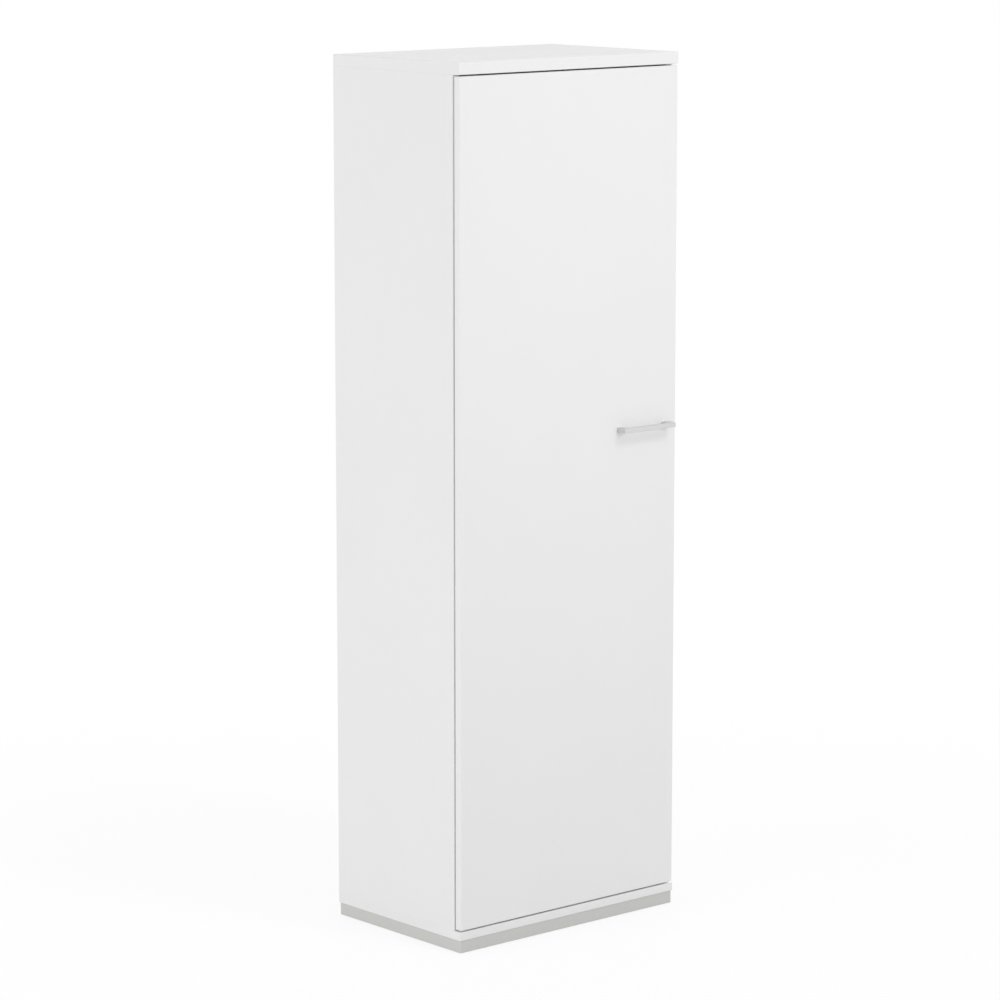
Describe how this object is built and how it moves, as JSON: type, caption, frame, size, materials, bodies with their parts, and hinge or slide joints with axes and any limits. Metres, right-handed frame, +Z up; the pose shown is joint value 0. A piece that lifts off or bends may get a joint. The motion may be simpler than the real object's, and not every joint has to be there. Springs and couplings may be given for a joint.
{
  "type": "wardrobe",
  "caption": "Tall narrow white wardrobe with a full-height hinged door, bow handle, hat shelf, coat rail and a low steel plinth with levelling feet.",
  "frame": {"origin": "on the floor, under the middle of the outer box with the handle in it", "axes": "+X to the right seen from the front, +Y to the back, +Z up; the door faces -Y"},
  "size_m": [0.602, 0.4256, 1.833],
  "materials": {
    "white_board": "white melamine-faced board with matching edging",
    "white_back": "white-faced thin board",
    "grey_powder_coat": "light grey powder coat",
    "satin_handle": "satin",
    "rail_chrome": "bright chrome",
    "nickel_plate": "nickel plated",
    "zinc_steel": "zinc plated",
    "zinc_casting": "die-cast, dull",
    "black_plastic": "moulded, matt",
    "clear_silicone": "soft, clear"
  },
  "bodies": {
    "carcass": {"top_panel": "white_board", "bottom_panel": "white_board", "left_side_panel": "white_board", "right_side_panel": "white_board", "back_panel": "white_back", "hat_shelf": "white_board", "plinth_frame": "grey_powder_coat", "coat_rail": "rail_chrome", "coat_rail_bracket_front": "nickel_plate", "coat_rail_bracket_rear": "nickel_plate", "shelf_peg_left_front": "nickel_plate", "levelling_foot_left_front": "black_plastic", "plinth_screw_left_front": "zinc_steel", "cam_lock_left_bottom_front": "zinc_casting", "cam_lock_left_top_front": "zinc_casting", "shelf_peg_left_rear": "nickel_plate", "levelling_foot_left_rear": "black_plastic", "plinth_screw_left_rear": "zinc_steel", "cam_lock_left_bottom_rear": "zinc_casting", "cam_lock_left_top_rear": "zinc_casting", "shelf_peg_right_front": "nickel_plate", "levelling_foot_right_front": "black_plastic", "plinth_screw_right_front": "zinc_steel", "cam_lock_right_bottom_front": "zinc_casting", "cam_lock_right_top_front": "zinc_casting", "shelf_peg_right_rear": "nickel_plate", "levelling_foot_right_rear": "black_plastic", "plinth_screw_right_rear": "zinc_steel", "cam_lock_right_bottom_rear": "zinc_casting", "cam_lock_right_top_rear": "zinc_casting", "hinge_plate_1": "nickel_plate", "hinge_arm_1": "nickel_plate", "hinge_arm_pin_1": "zinc_steel", "hinge_plate_2": "nickel_plate", "hinge_arm_2": "nickel_plate", "hinge_arm_pin_2": "zinc_steel", "hinge_plate_3": "nickel_plate", "hinge_arm_3": "nickel_plate", "hinge_arm_pin_3": "zinc_steel", "hinge_plate_4": "nickel_plate", "hinge_arm_4": "nickel_plate", "hinge_arm_pin_4": "zinc_steel"},
    "hinge_links": {"hinge_link_1": "nickel_plate", "hinge_link_2": "nickel_plate", "hinge_link_3": "nickel_plate", "hinge_link_4": "nickel_plate"},
    "door": {"door_panel": "white_board", "door_handle": "satin_handle", "handle_screw_left": "zinc_steel", "handle_screw_right": "zinc_steel", "hinge_cup_1": "nickel_plate", "hinge_cup_pin_1": "zinc_steel", "hinge_cup_2": "nickel_plate", "hinge_cup_pin_2": "zinc_steel", "hinge_cup_3": "nickel_plate", "hinge_cup_pin_3": "zinc_steel", "hinge_cup_4": "nickel_plate", "hinge_cup_pin_4": "zinc_steel", "door_bumper_bottom": "clear_silicone", "door_bumper_top": "clear_silicone"}
  },
  "joints": [
    {"name": "hinge_link_swing", "type": "hinge", "parent": "carcass", "child": "hinge_links", "pos_m": [-0.268, -0.15925, 0.9], "axis": [0, 0, 1], "range_deg": [0, 42]},
    {"name": "door_swing", "type": "hinge", "parent": "hinge_links", "child": "door", "pos_m": [-0.2895, -0.17275, 0.9], "axis": [0, 0, -1], "range_deg": [0, 147]}
  ],
  "couplings": [
    {"joint": "hinge_link_swing", "follows": "door_swing", "ratio": 0.28571}
  ]
}
